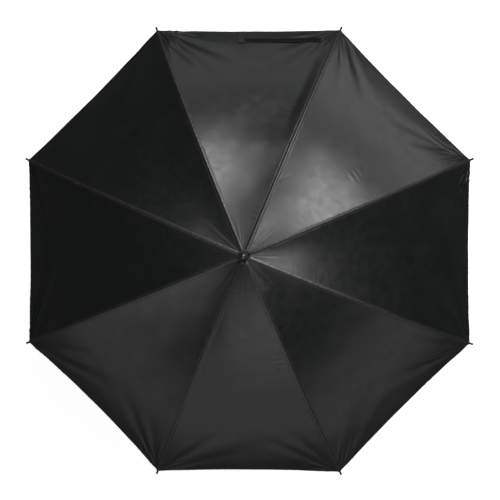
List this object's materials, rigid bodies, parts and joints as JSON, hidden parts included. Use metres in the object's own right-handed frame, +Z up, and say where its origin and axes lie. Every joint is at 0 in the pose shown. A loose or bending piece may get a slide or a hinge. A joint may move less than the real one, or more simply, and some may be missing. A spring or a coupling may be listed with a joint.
{
  "type": "golf umbrella",
  "caption": "Large open stick umbrella with an eight-panel black canopy, folding ribs and stretchers, sliding runner, sprung catches and a straight foam grip.",
  "frame": {"origin": "centre of the straight hand grip, on the shaft axis", "axes": "+Z up the shaft towards the ferrule; +Y through the middle of the panel that carries the closure strap; -Y is the side of the two catches"},
  "size_m": [1.2004, 1.2004, 1.015],
  "materials": {
    "canopy_fabric": "satin",
    "strap_fabric": "matte",
    "shaft_steel": "gloss",
    "spring_steel": "satin",
    "grip_foam": "matte",
    "cap_plastic": "matte",
    "ferrule_plastic": "gloss",
    "runner_plastic": "satin",
    "rib_fibreglass": "gloss",
    "clip_plastic": "satin",
    "tip_plastic": "satin"
  },
  "bodies": {
    "shaft": {"shaft": "shaft_steel", "catch_pins": "spring_steel", "grip": "grip_foam", "handle_end_cap": "cap_plastic", "crown_rosette": "canopy_fabric", "ferrule": "ferrule_plastic", "top_notch": "runner_plastic", "notch_wire": "spring_steel"},
    "runner": {"runner": "runner_plastic"},
    "top_catch": {"top_catch": "spring_steel"},
    "hand_catch": {"hand_catch": "spring_steel"},
    "rib_inner_1": {"rib_inner_1": "rib_fibreglass", "rib_clip_1": "clip_plastic", "canopy_gore_1": "canopy_fabric"},
    "rib_outer_1": {"rib_outer_1": "rib_fibreglass", "rib_tip_1": "tip_plastic"},
    "stretcher_1": {"stretcher_1": "rib_fibreglass"},
    "rib_inner_2": {"rib_inner_2": "rib_fibreglass", "rib_clip_2": "clip_plastic", "canopy_gore_2": "canopy_fabric"},
    "rib_outer_2": {"rib_outer_2": "rib_fibreglass", "rib_tip_2": "tip_plastic", "closure_strap": "strap_fabric"},
    "stretcher_2": {"stretcher_2": "rib_fibreglass"},
    "rib_inner_3": {"rib_inner_3": "rib_fibreglass", "rib_clip_3": "clip_plastic", "canopy_gore_3": "canopy_fabric"},
    "rib_outer_3": {"rib_outer_3": "rib_fibreglass", "rib_tip_3": "tip_plastic"},
    "stretcher_3": {"stretcher_3": "rib_fibreglass"},
    "rib_inner_4": {"rib_inner_4": "rib_fibreglass", "rib_clip_4": "clip_plastic", "canopy_gore_4": "canopy_fabric"},
    "rib_outer_4": {"rib_outer_4": "rib_fibreglass", "rib_tip_4": "tip_plastic"},
    "stretcher_4": {"stretcher_4": "rib_fibreglass"},
    "rib_inner_5": {"rib_inner_5": "rib_fibreglass", "rib_clip_5": "clip_plastic", "canopy_gore_5": "canopy_fabric"},
    "rib_outer_5": {"rib_outer_5": "rib_fibreglass", "rib_tip_5": "tip_plastic"},
    "stretcher_5": {"stretcher_5": "rib_fibreglass"},
    "rib_inner_6": {"rib_inner_6": "rib_fibreglass", "rib_clip_6": "clip_plastic", "canopy_gore_6": "canopy_fabric"},
    "rib_outer_6": {"rib_outer_6": "rib_fibreglass", "rib_tip_6": "tip_plastic"},
    "stretcher_6": {"stretcher_6": "rib_fibreglass"},
    "rib_inner_7": {"rib_inner_7": "rib_fibreglass", "rib_clip_7": "clip_plastic", "canopy_gore_7": "canopy_fabric"},
    "rib_outer_7": {"rib_outer_7": "rib_fibreglass", "rib_tip_7": "tip_plastic"},
    "stretcher_7": {"stretcher_7": "rib_fibreglass"},
    "rib_inner_8": {"rib_inner_8": "rib_fibreglass", "rib_clip_8": "clip_plastic", "canopy_gore_8": "canopy_fabric"},
    "rib_outer_8": {"rib_outer_8": "rib_fibreglass", "rib_tip_8": "tip_plastic"},
    "stretcher_8": {"stretcher_8": "rib_fibreglass"}
  },
  "joints": [
    {"name": "runner_slide", "type": "slide", "parent": "shaft", "child": "runner", "axis": [0, 0, -1], "range_m": [0, 0.48417], "deforming": ["canopy_gore_1", "canopy_gore_2", "canopy_gore_3", "canopy_gore_4", "canopy_gore_5", "canopy_gore_6", "canopy_gore_7", "canopy_gore_8", "closure_strap", "top_catch", "hand_catch"]},
    {"name": "top_catch_press", "type": "hinge", "parent": "shaft", "child": "top_catch", "pos_m": [0, -0.003, 0.5875], "axis": [-1, 0, 0], "range_deg": [0, 5.5], "stiffness_Nm_per_rad": 0.5},
    {"name": "hand_catch_press", "type": "hinge", "parent": "shaft", "child": "hand_catch", "pos_m": [0, -0.003, 0.189], "axis": [1, 0, 0], "range_deg": [0, 5.5], "stiffness_Nm_per_rad": 0.5},
    {"name": "rib_fold_1", "type": "hinge", "parent": "shaft", "child": "rib_inner_1", "pos_m": [0.01016, 0.00421, 0.862], "axis": [-0.3827, 0.9239, 0], "range_deg": [0, 73.9]},
    {"name": "rib_flex_1", "type": "hinge", "parent": "rib_inner_1", "child": "rib_outer_1", "pos_m": [0.31121, 0.12891, 0.77924], "axis": [0.3827, -0.9239, 0], "range_deg": [0, 22.6]},
    {"name": "stretcher_swing_1", "type": "hinge", "parent": "rib_inner_1", "child": "stretcher_1", "pos_m": [0.30872, 0.12788, 0.77333], "axis": [0.3827, -0.9239, 0], "range_deg": [0, 146.59]},
    {"name": "rib_fold_2", "type": "hinge", "parent": "shaft", "child": "rib_inner_2", "pos_m": [0.00421, 0.01016, 0.862], "axis": [-0.9239, 0.3827, 0], "range_deg": [0, 73.9]},
    {"name": "rib_flex_2", "type": "hinge", "parent": "rib_inner_2", "child": "rib_outer_2", "pos_m": [0.12891, 0.31121, 0.77924], "axis": [0.9239, -0.3827, 0], "range_deg": [0, 22.6]},
    {"name": "stretcher_swing_2", "type": "hinge", "parent": "rib_inner_2", "child": "stretcher_2", "pos_m": [0.12788, 0.30872, 0.77333], "axis": [0.9239, -0.3827, 0], "range_deg": [0, 146.59]},
    {"name": "rib_fold_3", "type": "hinge", "parent": "shaft", "child": "rib_inner_3", "pos_m": [-0.00421, 0.01016, 0.862], "axis": [-0.9239, -0.3827, 0], "range_deg": [0, 73.9]},
    {"name": "rib_flex_3", "type": "hinge", "parent": "rib_inner_3", "child": "rib_outer_3", "pos_m": [-0.12891, 0.31121, 0.77924], "axis": [0.9239, 0.3827, 0], "range_deg": [0, 22.6]},
    {"name": "stretcher_swing_3", "type": "hinge", "parent": "rib_inner_3", "child": "stretcher_3", "pos_m": [-0.12788, 0.30872, 0.77333], "axis": [0.9239, 0.3827, 0], "range_deg": [0, 146.59]},
    {"name": "rib_fold_4", "type": "hinge", "parent": "shaft", "child": "rib_inner_4", "pos_m": [-0.01016, 0.00421, 0.862], "axis": [-0.3827, -0.9239, 0], "range_deg": [0, 73.9]},
    {"name": "rib_flex_4", "type": "hinge", "parent": "rib_inner_4", "child": "rib_outer_4", "pos_m": [-0.31121, 0.12891, 0.77924], "axis": [0.3827, 0.9239, 0], "range_deg": [0, 22.6]},
    {"name": "stretcher_swing_4", "type": "hinge", "parent": "rib_inner_4", "child": "stretcher_4", "pos_m": [-0.30872, 0.12788, 0.77333], "axis": [0.3827, 0.9239, 0], "range_deg": [0, 146.59]},
    {"name": "rib_fold_5", "type": "hinge", "parent": "shaft", "child": "rib_inner_5", "pos_m": [-0.01016, -0.00421, 0.862], "axis": [0.3827, -0.9239, 0], "range_deg": [0, 73.9]},
    {"name": "rib_flex_5", "type": "hinge", "parent": "rib_inner_5", "child": "rib_outer_5", "pos_m": [-0.31121, -0.12891, 0.77924], "axis": [-0.3827, 0.9239, 0], "range_deg": [0, 22.6]},
    {"name": "stretcher_swing_5", "type": "hinge", "parent": "rib_inner_5", "child": "stretcher_5", "pos_m": [-0.30872, -0.12788, 0.77333], "axis": [-0.3827, 0.9239, 0], "range_deg": [0, 146.59]},
    {"name": "rib_fold_6", "type": "hinge", "parent": "shaft", "child": "rib_inner_6", "pos_m": [-0.00421, -0.01016, 0.862], "axis": [0.9239, -0.3827, 0], "range_deg": [0, 73.9]},
    {"name": "rib_flex_6", "type": "hinge", "parent": "rib_inner_6", "child": "rib_outer_6", "pos_m": [-0.12891, -0.31121, 0.77924], "axis": [-0.9239, 0.3827, 0], "range_deg": [0, 22.6]},
    {"name": "stretcher_swing_6", "type": "hinge", "parent": "rib_inner_6", "child": "stretcher_6", "pos_m": [-0.12788, -0.30872, 0.77333], "axis": [-0.9239, 0.3827, 0], "range_deg": [0, 146.59]},
    {"name": "rib_fold_7", "type": "hinge", "parent": "shaft", "child": "rib_inner_7", "pos_m": [0.00421, -0.01016, 0.862], "axis": [0.9239, 0.3827, 0], "range_deg": [0, 73.9]},
    {"name": "rib_flex_7", "type": "hinge", "parent": "rib_inner_7", "child": "rib_outer_7", "pos_m": [0.12891, -0.31121, 0.77924], "axis": [-0.9239, -0.3827, 0], "range_deg": [0, 22.6]},
    {"name": "stretcher_swing_7", "type": "hinge", "parent": "rib_inner_7", "child": "stretcher_7", "pos_m": [0.12788, -0.30872, 0.77333], "axis": [-0.9239, -0.3827, 0], "range_deg": [0, 146.59]},
    {"name": "rib_fold_8", "type": "hinge", "parent": "shaft", "child": "rib_inner_8", "pos_m": [0.01016, -0.00421, 0.862], "axis": [0.3827, 0.9239, 0], "range_deg": [0, 73.9]},
    {"name": "rib_flex_8", "type": "hinge", "parent": "rib_inner_8", "child": "rib_outer_8", "pos_m": [0.31121, -0.12891, 0.77924], "axis": [-0.3827, -0.9239, 0], "range_deg": [0, 22.6]},
    {"name": "stretcher_swing_8", "type": "hinge", "parent": "rib_inner_8", "child": "stretcher_8", "pos_m": [0.30872, -0.12788, 0.77333], "axis": [-0.3827, -0.9239, 0], "range_deg": [0, 146.59]}
  ],
  "couplings": [
    {"joint": "rib_fold_1", "follows": "runner_slide", "rad_per_m": 2.6604},
    {"joint": "rib_flex_1", "follows": "runner_slide", "rad_per_m": 0.81108},
    {"joint": "stretcher_swing_1", "follows": "runner_slide", "rad_per_m": 5.2806},
    {"joint": "rib_fold_2", "follows": "runner_slide", "rad_per_m": 2.6604},
    {"joint": "rib_flex_2", "follows": "runner_slide", "rad_per_m": 0.81108},
    {"joint": "stretcher_swing_2", "follows": "runner_slide", "rad_per_m": 5.2806},
    {"joint": "rib_fold_3", "follows": "runner_slide", "rad_per_m": 2.6604},
    {"joint": "rib_flex_3", "follows": "runner_slide", "rad_per_m": 0.81108},
    {"joint": "stretcher_swing_3", "follows": "runner_slide", "rad_per_m": 5.2806},
    {"joint": "rib_fold_4", "follows": "runner_slide", "rad_per_m": 2.6604},
    {"joint": "rib_flex_4", "follows": "runner_slide", "rad_per_m": 0.81108},
    {"joint": "stretcher_swing_4", "follows": "runner_slide", "rad_per_m": 5.2806},
    {"joint": "rib_fold_5", "follows": "runner_slide", "rad_per_m": 2.6604},
    {"joint": "rib_flex_5", "follows": "runner_slide", "rad_per_m": 0.81108},
    {"joint": "stretcher_swing_5", "follows": "runner_slide", "rad_per_m": 5.2806},
    {"joint": "rib_fold_6", "follows": "runner_slide", "rad_per_m": 2.6604},
    {"joint": "rib_flex_6", "follows": "runner_slide", "rad_per_m": 0.81108},
    {"joint": "stretcher_swing_6", "follows": "runner_slide", "rad_per_m": 5.2806},
    {"joint": "rib_fold_7", "follows": "runner_slide", "rad_per_m": 2.6604},
    {"joint": "rib_flex_7", "follows": "runner_slide", "rad_per_m": 0.81108},
    {"joint": "stretcher_swing_7", "follows": "runner_slide", "rad_per_m": 5.2806},
    {"joint": "rib_fold_8", "follows": "runner_slide", "rad_per_m": 2.6604},
    {"joint": "rib_flex_8", "follows": "runner_slide", "rad_per_m": 0.81108},
    {"joint": "stretcher_swing_8", "follows": "runner_slide", "rad_per_m": 5.2806}
  ]
}
